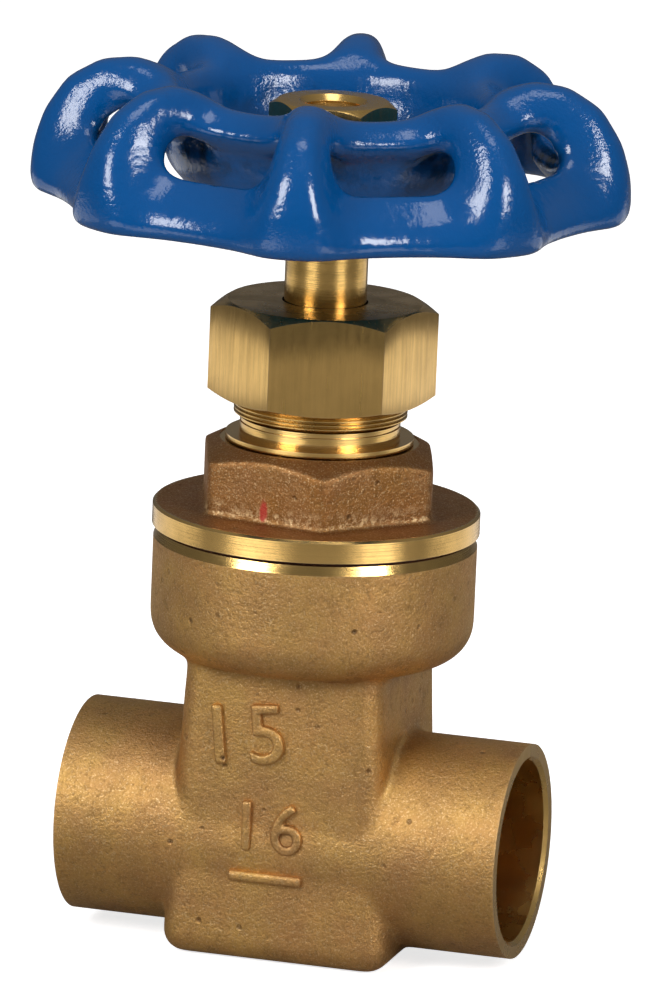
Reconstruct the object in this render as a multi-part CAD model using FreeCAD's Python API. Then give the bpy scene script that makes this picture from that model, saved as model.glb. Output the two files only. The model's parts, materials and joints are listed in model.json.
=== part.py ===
"""Half-inch bronze gate valve with solder ends and a non-rising stem, drawn fully open.

Millimetres. +Z runs up the stem, X runs along the pipe, and the origin is the middle of the flat
underside of the body, on the stem's axis. Each function returns one separate piece, and the last
lines write each piece to its own STEP file.
"""

import FreeCAD
import Part

import math
import os

V = FreeCAD.Vector
X_AXIS = V(1, 0, 0)
Z_AXIS = V(0, 0, 1)
ORIGIN = V(0, 0, 0)

# Pipe ends: sockets for 15.88 mm (5/8 inch) copper tube
PIPE_Z = 10.5
END_TO_END = 40.0
SOCKET_R = 8.0
SOCKET_DEPTH = 12.7
SOCKET_OUTER_R = 9.45
PORT_R = 6.0
MOUTH_CHAMFER = 0.35

# Body block around the wedge, which widens downwards, and the round collar on top of it.
# The block's corners are rounder than its foot, or the foot's round would fold through itself.
BLOCK_HALF_X_LOW = 10.4
BLOCK_HALF_X_HIGH = 8.7
BLOCK_HALF_Y_LOW = 9.0
BLOCK_HALF_Y_HIGH = 9.6
BLOCK_CORNER_R = 2.2
BLOCK_FOOT_ROUND = 2.0
COLLAR_R = 14.15
COLLAR_LOW = 26.4
COLLAR_TOP = 37.2
COLLAR_ROUND = 3.0
COLLAR_LIP = 0.8
COLLAR_LIP_R = 13.85

# Chamber inside the body, where the wedge slides
CHAMBER_HALF_X = 6.2
CHAMBER_HALF_Y = 7.7
CHAMBER_TOP = 31.0
BONNET_THREAD_R = 11.5
GUIDE_HALF_X = 1.4
GUIDE_REACH = 6.75

# Wedge disc and its tapered seats
SEAT_HALF_GAP = 4.6
SEAT_TAPER_DEG = 4.0
SEAT_R = 7.45
WEDGE_R = 7.2
WEDGE_GAP = 0.03
WEDGE_BOSS_R = 4.4
WEDGE_BOSS_TOP = 24.1
WEDGE_HOLE_LOW = 4.4
WEDGE_THREAD_LOW = 17.4
LIFT = 13.2
GUIDE_GAP = 0.25

# Bonnet: threaded skirt, flange and cast hexagon
BONNET_SKIRT_LOW = 31.3
BONNET_SKIRT_IN_R = 9.4
FLANGE_R = 14.3
FLANGE_TOP = 39.5
BONNET_HEX_FLATS = 19.6
BONNET_HEX_SHOULDER = 44.0
BONNET_TOP = 45.4
BONNET_FACE_R = 8.7
BONNET_HEX_TURN = -71.5
STEM_SHELF_Z = 39.3
GASKET_R = 13.5
GASKET_THICKNESS = 0.35
STUFFING_THREAD_R = 6.25
SCREW_GAP = 0.04

# Stuffing box: screwed into the bonnet over the stem's thrust collar
NECK_R = 7.0
NECK_TOP = 47.3
NECK_FLANGE_R = 8.2
NECK_FLANGE_TOP = 45.85
STUFFING_LOW = 41.5
STUFFING_TOP = 54.0
PACKING_LOW = 47.6
PACKING_R = 5.2
PACKING_RING_HEIGHT = 1.45
PACKING_RINGS = ("lower", "middle", "upper")
NECK_GROOVES = (46.15, 46.95)

# Packing nut and its thread on the stuffing box
NUT_PITCH = 1.25
NUT_MALE_R = 6.6
NUT_ROOT_R = 5.95
NUT_FLATS = 17.2
NUT_LOW = 47.6
NUT_HEX_LOW = 48.8
NUT_TOP = 57.65
NUT_COLLAR_R = 7.57
NUT_INSIDE_TOP = 55.8
NUT_HEX_TURN = -71.6
NUT_MOUTH_R = 7.1
NUT_MOUTH_TOP = 49.1
NUT_BORE_GAP = 0.15

# Stem: left-hand drive thread, thrust collar, shank, square and end thread
STEM_TIP = 17.9
STEM_THREAD_TOP = 37.6
STEM_R = 3.0
STEM_NECK_R = 2.8
STEM_ROOT_R = 2.15
STEM_PITCH = 2.0
STEM_COLLAR_LOW = 39.36
STEM_COLLAR_TOP = 41.0
STEM_COLLAR_R = 5.0
THRUST_WASHER_GAP = 0.04
SHANK_R = 3.6
SHANK_TOP = 65.5
SQUARE_FLATS = 4.9
SQUARE_TOP = 70.9
END_THREAD_R = 2.45
STEM_TOP = 74.7
STEM_GAP = 0.08
THREAD_GAP = 0.1

# Handwheel: bowl and hub of revolution, and a lobed shell of eight equal sectors
LOBES = 8
WHEEL_TURN = 9.5
HUB_R = 6.3
HUB_TOP = 71.3
WHEEL_NUT_FLATS = 9.65
WHEEL_NUT_TOP = 75.3
WHEEL_NUT_TURN = -48.3
SECTION_STEPS = 16
WINDOW_CENTRE = (17.85, 72.2)
WINDOW_TILT = 48.0
WINDOW_LENGTH = 10.9
WINDOW_WIDTH = 4.7
WINDOW_CORNER_R = 1.7
WINDOW_IN = 2.4
WINDOW_OUT = 6.0
# (radius, height) round the shell's wall midway between two lobes
VALLEY = [(12.9, 75.4), (13.5, 76.3), (14.7, 76.2), (16.3, 74.9), (18.4, 72.7), (20.7, 70.7),
          (22.7, 68.9), (23.6, 67.3), (23.4, 66.2), (22.5, 65.9), (21.4, 66.6), (19.4, 68.5),
          (17.2, 70.7), (15.2, 72.5), (13.4, 73.8)]
# (radius, height, half-width in degrees) for the same points of the wall on a lobe's ridge
RIDGE = [(13.0, 75.6, 7.0), (14.4, 77.2, 7.0), (17.2, 78.1, 7.0), (20.3, 77.8, 6.8),
         (23.3, 76.0, 6.8), (25.2, 73.0, 7.6), (26.0, 70.2, 8.8), (26.2, 67.5, 10.2),
         (25.9, 66.2, 10.6), (25.0, 65.9, 10.6), (23.7, 66.8, 10.0), (22.9, 69.8, 8.4),
         (21.2, 72.6, 7.0), (18.2, 74.3, 6.4), (14.0, 74.0, 6.4)]
BOWL = [(0, 65.5), (6.4, 65.5), (9.0, 66.0), (12.1, 67.4), (14.2, 69.6), (14.7, 71.6),
        (14.5, 74.6), (13.6, 75.9), (12.7, 75.4), (12.3, 72.6), (11.1, 70.4), (9.0, 69.2),
        (6.3, 68.9), (0, 68.9)]


def cylinder(radius, low, high):
    return Part.makeCylinder(radius, high - low, V(0, 0, low))


def pipe(radius, left, right):
    """A cylinder on the pipe's axis."""
    return Part.makeCylinder(radius, right - left, V(left, 0, PIPE_Z), X_AXIS)


def ring(outer, inner, low, high):
    return cylinder(outer, low, high).cut(cylinder(inner, low - 1, high + 1))


def cone(low_radius, high_radius, low, high):
    return Part.makeCone(low_radius, high_radius, high - low, V(0, 0, low))


def turned(points):
    """A solid of revolution from a list of (radius, height)."""
    outline = Part.makePolygon([V(r, 0, z) for r, z in points] + [V(points[0][0], 0, points[0][1])])
    return Part.Face(outline).revolve(ORIGIN, Z_AXIS, 360)


def hexagon(flats, low, high, turn):
    corner = flats / math.sqrt(3)
    points = [V(corner * math.cos(math.radians(turn + 60 * k)),
                corner * math.sin(math.radians(turn + 60 * k)), low) for k in range(7)]
    return Part.Face(Part.makePolygon(points)).extrude(V(0, 0, high - low))


def rounded_rectangle(half_x, half_y, corner, z):
    """A closed outline with four round corners, at height z."""
    x, y, c = half_x, half_y, corner
    bend = c * (1 - math.sqrt(0.5))
    edges = []
    for sx, sy in ((1, 1), (-1, 1), (-1, -1), (1, -1)):
        side = V(sx * x, sy * (y - c), z)
        end = V(sx * (x - c), sy * y, z)
        middle = V(sx * (x - bend), sy * (y - bend), z)
        if sx * sy < 0:
            side, end = end, side
        if edges:
            edges.append(Part.makeLine(edges[-1].Vertexes[-1].Point, side))
        edges.append(Part.Arc(side, middle, end).toShape())
    edges.append(Part.makeLine(edges[-1].Vertexes[-1].Point, V(x, y - c, z)))
    return Part.Wire(Part.__sortEdges__(edges))


def thread_ridge(root, crest, pitch, low, high, gap, left_handed):
    """The helical ridge of a screw thread from low to high. gap makes it larger all round, for a nut."""
    half_root = 0.36 * pitch + gap
    half_crest = 0.14 * pitch + gap
    sunk = root - 0.15
    profile = Part.makePolygon([V(sunk, 0, low - half_root), V(crest + gap, 0, low - half_crest),
                                V(crest + gap, 0, low + half_crest), V(sunk, 0, low + half_root),
                                V(sunk, 0, low - half_root)])
    path = Part.makeHelix(pitch, high - low, root, 0, left_handed)
    path.translate(V(0, 0, low))
    return Part.Wire(path.Edges).makePipeShell([profile], True, True)


def taper_prism(gap):
    """The space between the two tapered seats, less gap on each side, with the wedge closed."""
    slope = math.tan(math.radians(SEAT_TAPER_DEG))
    low, high = PIPE_Z - 12, PIPE_Z + 12
    half_low = SEAT_HALF_GAP - gap - 12 * slope
    half_high = SEAT_HALF_GAP - gap + 12 * slope
    outline = Part.makePolygon([V(-half_low, -15, low), V(half_low, -15, low),
                                V(half_high, -15, high), V(-half_high, -15, high),
                                V(-half_low, -15, low)])
    return Part.Face(outline).extrude(V(0, 30, 0))


def near(edge, test):
    """True if both ends and the middle of an edge pass the test."""
    span = (edge.FirstParameter, (edge.FirstParameter + edge.LastParameter) / 2, edge.LastParameter)
    return all(test(edge.valueAt(t)) for t in span)


def body_block():
    """The flat-sided block, widening downwards, with a rounded foot."""
    block = Part.makeLoft([rounded_rectangle(BLOCK_HALF_X_LOW, BLOCK_HALF_Y_LOW, BLOCK_CORNER_R, 0),
                           rounded_rectangle(BLOCK_HALF_X_HIGH, BLOCK_HALF_Y_HIGH, BLOCK_CORNER_R,
                                             COLLAR_LOW + COLLAR_ROUND)], True, True)
    foot = [e for e in block.Edges if near(e, lambda p: abs(p.z) < 1e-6)]
    return block.makeFillet(BLOCK_FOOT_ROUND, foot)


def body_collar():
    """The round collar that takes the bonnet, with its rounded underside and machined lip."""
    collar = cylinder(COLLAR_R, COLLAR_LOW, COLLAR_TOP - COLLAR_LIP)
    under = [e for e in collar.Edges if near(e, lambda p: abs(p.z - COLLAR_LOW) < 1e-6)]
    collar = collar.makeFillet(COLLAR_ROUND, under)
    return collar.fuse(cone(COLLAR_R, COLLAR_LIP_R, COLLAR_TOP - COLLAR_LIP, COLLAR_TOP))


def wedge_chamber():
    """The slot for the wedge: round below the pipe's axis and straight above it."""
    low_end = Part.makeCylinder(CHAMBER_HALF_Y, 2 * CHAMBER_HALF_X,
                                V(-CHAMBER_HALF_X, 0, PIPE_Z), X_AXIS)
    upper = Part.makeBox(2 * CHAMBER_HALF_X, 2 * CHAMBER_HALF_Y, CHAMBER_TOP - PIPE_Z + 1,
                         V(-CHAMBER_HALF_X, -CHAMBER_HALF_Y, PIPE_Z))
    return low_end.fuse(upper)


def guide_ribs():
    """Two upright ribs on the chamber's side walls, which keep the wedge from turning."""
    depth = CHAMBER_HALF_Y + 0.5 - GUIDE_REACH
    ribs = [Part.makeBox(2 * GUIDE_HALF_X, depth, CHAMBER_TOP - PIPE_Z,
                         V(-GUIDE_HALF_X, y, PIPE_Z)) for y in (GUIDE_REACH, -GUIDE_REACH - depth)]
    return ribs[0].fuse(ribs[1])


def valve_body():
    end = END_TO_END / 2
    tube = pipe(SOCKET_OUTER_R, -end, end)
    outside = body_block().fuse(tube).fuse(body_collar())
    outside = outside.cut(wedge_chamber())
    seats = pipe(SEAT_R, -CHAMBER_HALF_X - 0.5, CHAMBER_HALF_X + 0.5).cut(taper_prism(0))
    outside = outside.fuse(seats).fuse(guide_ribs())
    outside = outside.cut(pipe(PORT_R, -end, end))
    outside = outside.cut(cylinder(BONNET_THREAD_R, CHAMBER_TOP, COLLAR_TOP + 1))
    for side in (-1, 1):
        mouth = Part.makeCone(SOCKET_R + MOUTH_CHAMFER, SOCKET_R, MOUTH_CHAMFER,
                              V(side * end, 0, PIPE_Z), V(-side, 0, 0))
        cup = Part.makeCylinder(SOCKET_R, SOCKET_DEPTH, V(side * end, 0, PIPE_Z), V(-side, 0, 0))
        outside = outside.cut(cup).cut(mouth)
    return outside.removeSplitter()


def wedge_disc():
    """The tapered disc with its threaded boss, raised clear of the port."""
    disc = pipe(WEDGE_R, -SOCKET_R, SOCKET_R).common(taper_prism(WEDGE_GAP))
    boss = cylinder(WEDGE_BOSS_R, PIPE_Z, WEDGE_BOSS_TOP)
    wedge = disc.fuse(boss)
    groove_x = GUIDE_HALF_X + GUIDE_GAP
    groove_y = GUIDE_REACH - GUIDE_GAP
    for y in (groove_y, -groove_y - 2):
        wedge = wedge.cut(Part.makeBox(2 * groove_x, 2, 20, V(-groove_x, y, 0)))
    wedge = wedge.cut(cylinder(STEM_R + 0.15, WEDGE_HOLE_LOW, WEDGE_THREAD_LOW))
    wedge = wedge.cut(cylinder(STEM_ROOT_R + THREAD_GAP, WEDGE_HOLE_LOW, WEDGE_BOSS_TOP + 1))
    wedge.translate(V(0, 0, LIFT))
    turns_below = math.floor((WEDGE_THREAD_LOW + LIFT - STEM_TIP) / STEM_PITCH)
    low = STEM_TIP + (turns_below - 0.5) * STEM_PITCH
    ridge = thread_ridge(STEM_ROOT_R + THREAD_GAP, STEM_R, STEM_PITCH, low,
                         low + 5 * STEM_PITCH, THREAD_GAP, True)
    return wedge.cut(ridge).removeSplitter()


def stem():
    """Left-hand drive thread, thrust collar, shank, handwheel square and end thread."""
    core = cylinder(STEM_ROOT_R, STEM_TIP, STEM_THREAD_TOP)
    ridge = thread_ridge(STEM_ROOT_R, STEM_R, STEM_PITCH, STEM_TIP + 0.5 * STEM_PITCH,
                         STEM_THREAD_TOP - 0.5 * STEM_PITCH, 0, True)
    shaft = core.fuse(ridge)
    shaft = shaft.fuse(cylinder(STEM_NECK_R, STEM_THREAD_TOP, STEM_COLLAR_LOW))
    shaft = shaft.fuse(cylinder(STEM_COLLAR_R, STEM_COLLAR_LOW, STEM_COLLAR_TOP))
    shaft = shaft.fuse(cylinder(SHANK_R, STEM_COLLAR_TOP, SHANK_TOP))
    half = SQUARE_FLATS / 2
    square = Part.makeBox(SQUARE_FLATS, SQUARE_FLATS, SQUARE_TOP - SHANK_TOP,
                          V(-half, -half, SHANK_TOP))
    square.rotate(ORIGIN, Z_AXIS, WHEEL_TURN)
    square = square.common(cylinder(SHANK_R - 0.3, SHANK_TOP, SQUARE_TOP))
    shaft = shaft.fuse(square)
    shaft = shaft.fuse(cylinder(END_THREAD_R, SQUARE_TOP, STEM_TOP - 0.4))
    return shaft.fuse(cone(END_THREAD_R, END_THREAD_R - 0.4, STEM_TOP - 0.4, STEM_TOP))


def bonnet():
    """Skirt and flange of revolution with a cast hexagon, and the shelf for the stem's collar."""
    shell = cylinder(FLANGE_R, COLLAR_TOP + GASKET_THICKNESS, FLANGE_TOP)
    rim = [e for e in shell.Edges if near(e, lambda p: abs(p.z - FLANGE_TOP) < 1e-6)]
    shell = shell.makeFillet(0.3, rim)
    shell = shell.fuse(cylinder(BONNET_THREAD_R - SCREW_GAP, BONNET_SKIRT_LOW, COLLAR_TOP + 1))
    hexagonal = hexagon(BONNET_HEX_FLATS, COLLAR_TOP + 0.5, BONNET_TOP, BONNET_HEX_TURN)
    corner = BONNET_HEX_FLATS / math.sqrt(3)
    rounding = cone(corner + 0.2, BONNET_FACE_R, BONNET_HEX_SHOULDER, BONNET_TOP)
    rounding = rounding.fuse(cylinder(corner + 0.2, COLLAR_TOP, BONNET_HEX_SHOULDER))
    shell = shell.fuse(hexagonal.common(rounding))
    shell = shell.cut(cylinder(BONNET_SKIRT_IN_R, BONNET_SKIRT_LOW - 1, COLLAR_TOP + 0.4))
    shell = shell.cut(cylinder(STEM_R + 0.3, COLLAR_TOP - 1, STEM_SHELF_Z))
    shell = shell.cut(cylinder(STEM_COLLAR_R + 0.1, STEM_SHELF_Z, STUFFING_LOW))
    return shell.cut(cylinder(STUFFING_THREAD_R, STUFFING_LOW, BONNET_TOP + 1)).removeSplitter()


def stuffing_box():
    """Turned brass box: screwed foot, polished neck, thread for the nut and packing chamber."""
    box = cylinder(STUFFING_THREAD_R - SCREW_GAP, STUFFING_LOW, BONNET_TOP)
    box = box.fuse(cylinder(NECK_R, BONNET_TOP, NECK_TOP))
    box = box.fuse(cylinder(NECK_FLANGE_R, BONNET_TOP, NECK_FLANGE_TOP))
    for height in NECK_GROOVES:
        box = box.cut(ring(NECK_R + 1, NECK_R - 0.15, height - 0.09, height + 0.09))
    box = box.fuse(cylinder(NUT_ROOT_R, NECK_TOP, STUFFING_TOP))
    first = NECK_TOP + 0.5 * NUT_PITCH
    turns = math.floor((STUFFING_TOP - first) / NUT_PITCH - 0.4)
    box = box.fuse(thread_ridge(NUT_ROOT_R, NUT_MALE_R, NUT_PITCH, first,
                                first + turns * NUT_PITCH, 0, False))
    box = box.cut(cylinder(SHANK_R + STEM_GAP, STUFFING_LOW - 1, PACKING_LOW))
    return box.cut(cylinder(PACKING_R, PACKING_LOW, STUFFING_TOP + 1)).removeSplitter()


def bonnet_gasket():
    """Flat ring between the body's lip and the bonnet's flange."""
    return ring(GASKET_R, BONNET_THREAD_R + SCREW_GAP, COLLAR_TOP, COLLAR_TOP + GASKET_THICKNESS)


def thrust_washer():
    """Slippery washer between the stem's collar and the foot of the stuffing box."""
    return ring(STEM_COLLAR_R, SHANK_R + STEM_GAP, STEM_COLLAR_TOP + THRUST_WASHER_GAP,
                STUFFING_LOW)


def packing_ring(number):
    low = PACKING_LOW + 0.01 + number * (PACKING_RING_HEIGHT + 0.005)
    return ring(PACKING_R - 0.02, SHANK_R + 0.02, low, low + PACKING_RING_HEIGHT)


def packing_gland():
    """The bush that the nut presses down on the packing."""
    low = PACKING_LOW + len(PACKING_RINGS) * (PACKING_RING_HEIGHT + 0.005) + 0.03
    return ring(PACKING_R - 0.05, SHANK_R + STEM_GAP, low, NUT_INSIDE_TOP - 0.02)


def packing_nut():
    corner = NUT_FLATS / math.sqrt(3)
    nut = hexagon(NUT_FLATS, NUT_HEX_LOW - 1, NUT_TOP, NUT_HEX_TURN + 30)
    top_round = cone(corner, NUT_FLATS / 2 - 0.15, NUT_TOP - 0.88, NUT_TOP)
    low_round = cone(NUT_COLLAR_R, corner, NUT_HEX_LOW - 0.75, NUT_HEX_LOW + 0.75)
    middle = cylinder(corner, NUT_HEX_LOW + 0.75, NUT_TOP - 0.88)
    nut = nut.common(low_round.fuse(middle).fuse(top_round))
    nut = nut.fuse(cylinder(NUT_COLLAR_R, NUT_LOW, NUT_HEX_LOW))
    nut = nut.cut(cylinder(NUT_MOUTH_R, NUT_LOW - 1, NUT_MOUTH_TOP))
    nut = nut.cut(cylinder(NUT_ROOT_R + THREAD_GAP, NUT_LOW, NUT_INSIDE_TOP))
    nut = nut.cut(cylinder(SHANK_R + NUT_BORE_GAP, NUT_INSIDE_TOP - 1, NUT_TOP + 1))
    low = NECK_TOP + 0.5 * NUT_PITCH
    ridge = thread_ridge(NUT_ROOT_R + THREAD_GAP, NUT_MALE_R, NUT_PITCH, low,
                         low + 6 * NUT_PITCH, THREAD_GAP, False)
    return nut.cut(ridge).removeSplitter()


def lobe_weight(angle, half_width):
    """1 on a lobe's ridge and 0 midway between lobes, with a broad top and smooth flanks."""
    def bump(a):
        return 1 / (1 + (a / half_width) ** 4)
    midway = bump(180 / LOBES)
    return (bump(angle) - midway) / (1 - midway)


def shell_section(angle):
    """The shell's closed outline in the upright plane at this angle from a lobe's ridge."""
    out = V(math.cos(math.radians(angle)), math.sin(math.radians(angle)), 0)
    points = []
    for (valley_r, valley_z), (ridge_r, ridge_z, half_width) in zip(VALLEY, RIDGE):
        weight = lobe_weight(angle, half_width)
        radius = valley_r + weight * (ridge_r - valley_r)
        height = valley_z + weight * (ridge_z - valley_z)
        points.append(out * radius + V(0, 0, height))
    return Part.makePolygon(points + [points[0]])


def wheel_window(angle):
    """A cutter with round corners, square to the sloping wall midway between two lobes."""
    outline = rounded_rectangle(WINDOW_WIDTH / 2, WINDOW_LENGTH / 2, WINDOW_CORNER_R, -WINDOW_IN)
    slot = Part.Face(outline).extrude(V(0, 0, WINDOW_IN + WINDOW_OUT))
    slot.rotate(ORIGIN, V(0, 1, 0), 90 - WINDOW_TILT)
    slot.translate(V(WINDOW_CENTRE[0], 0, WINDOW_CENTRE[1]))
    slot.rotate(ORIGIN, Z_AXIS, angle)
    return slot


def handwheel():
    """Lobed shell with eight windows round a bowl and a hub, on the stem's square."""
    pitch = 360 / LOBES
    sections = [shell_section(pitch * (k / SECTION_STEPS - 0.5)) for k in range(SECTION_STEPS + 1)]
    sector = Part.makeLoft(sections, True, False)
    sectors = []
    for k in range(LOBES):
        copy = sector.copy()
        copy.rotate(ORIGIN, Z_AXIS, k * pitch)
        sectors.append(copy)
    shell = sectors[0].multiFuse(sectors[1:])
    shell = shell.cut([wheel_window((k + 0.5) * pitch) for k in range(LOBES)])
    wheel = shell.fuse([turned(BOWL), cylinder(HUB_R, SHANK_TOP, HUB_TOP)])
    side = SQUARE_FLATS + 0.08
    wheel = wheel.cut(Part.makeBox(side, side, 10, V(-side / 2, -side / 2, SHANK_TOP - 1)))
    wheel.rotate(ORIGIN, Z_AXIS, WHEEL_TURN)
    return wheel


def handwheel_nut():
    corner = WHEEL_NUT_FLATS / math.sqrt(3)
    nut = hexagon(WHEEL_NUT_FLATS, HUB_TOP, WHEEL_NUT_TOP, WHEEL_NUT_TURN)
    rounding = cylinder(corner, HUB_TOP, WHEEL_NUT_TOP - 0.5)
    rounding = rounding.fuse(cone(corner, WHEEL_NUT_FLATS / 2 - 0.05, WHEEL_NUT_TOP - 0.5,
                                  WHEEL_NUT_TOP))
    nut = nut.common(rounding)
    nut = nut.cut(cylinder(END_THREAD_R + SCREW_GAP, HUB_TOP - 1, WHEEL_NUT_TOP + 1))
    return nut.cut(cone(END_THREAD_R, END_THREAD_R + 0.5, WHEEL_NUT_TOP - 0.45,
                        WHEEL_NUT_TOP + 0.05))


def pieces():
    """Every separate piece, by the name of its file."""
    made = {
        "valve_body": valve_body(),
        "wedge_disc": wedge_disc(),
        "stem": stem(),
        "bonnet": bonnet(),
        "bonnet_gasket": bonnet_gasket(),
        "stuffing_box": stuffing_box(),
        "thrust_washer": thrust_washer(),
        "packing_gland": packing_gland(),
        "packing_nut": packing_nut(),
        "handwheel": handwheel(),
        "handwheel_nut": handwheel_nut(),
    }
    for number, place in enumerate(PACKING_RINGS):
        made["packing_ring_" + place] = packing_ring(number)
    return made


def require_sound(name, shape):
    """Stop if a piece isn't one valid solid, because a STEP reader may mend it into another shape."""
    if not shape.isValid() or len(shape.Solids) != 1 or shape.Volume <= 0:
        raise ValueError(f"{name} isn't one valid solid: valid {shape.isValid()}, "
                         f"solids {len(shape.Solids)}, volume {shape.Volume:.1f} mm3")


def main():
    made = pieces()
    for name, shape in made.items():
        print(f"{name:22s} solids {len(shape.Solids)}  valid {shape.isValid()}"
              f"  volume {shape.Volume:9.1f} mm3")
        require_sound(name, shape)
    os.makedirs("parts", exist_ok=True)
    for name, shape in made.items():
        shape.exportStep(f"parts/{name}.step")


if __name__ == "__main__":
    main()
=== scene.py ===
import json
import math

import bmesh
import bpy
from bpy.props import FloatProperty, FloatVectorProperty, IntProperty, PointerProperty
from mathutils import Matrix, Vector


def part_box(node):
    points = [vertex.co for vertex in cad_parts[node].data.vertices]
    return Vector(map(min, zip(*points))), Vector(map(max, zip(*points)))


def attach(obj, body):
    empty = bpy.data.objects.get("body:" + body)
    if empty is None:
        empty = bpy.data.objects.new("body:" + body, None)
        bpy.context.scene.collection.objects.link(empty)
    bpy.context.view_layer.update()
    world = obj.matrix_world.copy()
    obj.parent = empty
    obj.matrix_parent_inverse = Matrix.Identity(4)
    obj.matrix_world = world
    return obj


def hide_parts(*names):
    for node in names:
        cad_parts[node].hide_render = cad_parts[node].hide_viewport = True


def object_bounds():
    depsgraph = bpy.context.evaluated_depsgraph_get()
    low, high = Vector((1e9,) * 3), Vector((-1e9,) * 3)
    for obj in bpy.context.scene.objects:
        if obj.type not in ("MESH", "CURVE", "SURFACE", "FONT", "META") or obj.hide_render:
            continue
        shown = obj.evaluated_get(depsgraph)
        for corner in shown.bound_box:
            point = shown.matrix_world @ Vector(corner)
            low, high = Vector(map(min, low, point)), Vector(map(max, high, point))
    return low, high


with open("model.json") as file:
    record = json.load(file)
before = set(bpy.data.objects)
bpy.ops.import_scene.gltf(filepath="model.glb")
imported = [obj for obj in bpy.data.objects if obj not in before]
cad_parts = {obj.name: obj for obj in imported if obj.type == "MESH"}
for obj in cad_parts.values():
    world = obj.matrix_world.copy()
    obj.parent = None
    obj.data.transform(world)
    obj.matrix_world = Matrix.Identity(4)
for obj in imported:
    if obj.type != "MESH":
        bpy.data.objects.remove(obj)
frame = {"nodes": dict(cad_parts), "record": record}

bl_info = {
    "name": "Small Bronze Gate Valve",
    "version": (1, 0, 0),
    "blender": (4, 5, 0),
    "location": "3D View > Sidebar > Gate Valve",
    "description": "Castings, turned brass, enamelled handwheel and stage for a small gate valve",
    "category": "Object",
}

MM = 0.001
ROSY_TINT = (1.0, 0.84, 1.05)
CAD_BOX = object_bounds()
MOUNTS = {mount["name"]: mount for mount in frame["record"]["mounts"]}
BODY_LOW, BODY_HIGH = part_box("valve_body")
BONNET_LOW, BONNET_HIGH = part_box("bonnet")
PACKING_NUT_LOW, PACKING_NUT_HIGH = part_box("packing_nut")
WHEEL_NUT_LOW, WHEEL_NUT_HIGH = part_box("handwheel_nut")
PIPE_Z = MOUNTS["right_socket"]["pos_m"][2]
SOCKET_R = MOUNTS["right_socket"]["dims"]["r_mm"] * MM
STOCK = 1.2 * MM
TURNED_STEPS = 128

# Sizes that the frame's boxes don't give, the same as the frame's own
SOCKET_DEPTH = 12.7 * MM
MOUTH_CHAMFER = 0.35 * MM
PORT_R = 6.0 * MM
CHAMBER_HALF_X = 6.2 * MM
CHAMBER_HALF_Y = 7.7 * MM
BONNET_BORE_R = 11.5 * MM
BONNET_BORE_LOW = 31.0 * MM
LIP = 0.8 * MM
LIP_NARROWING = 0.3 * MM
BLOCK_CORNER_R = 2.2 * MM
BLOCK_FOOT_ROUND = 2.0 * MM
GASKET_THICKNESS = 0.35 * MM
FLANGE_TOP = BODY_HIGH.z + 2.3 * MM
HEX_SHOULDER = 44.0 * MM
SPOT_FACE_R = 8.7 * MM
STUFFING_BORE_R = 6.21 * MM
SKIRT_R = 11.4 * MM
SKIRT_BORE_R = 9.4 * MM
SKIRT_BORE_DROP = 0.3 * MM
NUT_COLLAR_R = 7.57 * MM
NUT_COLLAR_HEIGHT = 1.15 * MM
NUT_FOOT_SLOPE_TOP = 1.95 * MM
NUT_TOP_SLOPE = 0.88 * MM
NUT_MOUTH_R = 7.1 * MM
NUT_MOUTH_DEPTH = 1.5 * MM
NUT_BORE_R = 6.7 * MM
NUT_CROWN = 1.85 * MM
NUT_STEM_HOLE_R = 3.75 * MM
NUT_GROOVES = 3
NUT_GROOVE_STEP = 0.36 * MM
NUT_GROOVE_DEPTH = 0.16 * MM
WHEEL_NUT_SLOPE = 0.55 * MM
WHEEL_NUT_BORE_R = 2.5 * MM
WHEEL_NUT_MOUTH_R = 3.0 * MM
WHEEL_NUT_MOUTH_DEPTH = 0.5 * MM
BONNET_HEX_TURN = 48.5
PACKING_NUT_TURN = 18.4
WHEEL_NUT_TURN = 11.7

# Cast figures: text, place across and up the front, height (all in mm), lean in degrees
FIGURES = [("15", -3.0, 20.4, 5.4, 6), ("16", -0.6, 12.3, 4.5, 0)]

# Camera, with its distances in metres and its angles in degrees
CAMERA_AZIMUTH = 16.2
CAMERA_ELEVATION = 13.0
CAMERA_ROLL = 2.4
CAMERA_DISTANCE = 0.85
CAMERA_VIEW_HEIGHT = 0.0871
CAMERA_TARGET_Z = 39.9 * MM
CAMERA_TARGET_RIGHT = 0.75 * MM


# ---------------------------------------------------------------- settings

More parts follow.
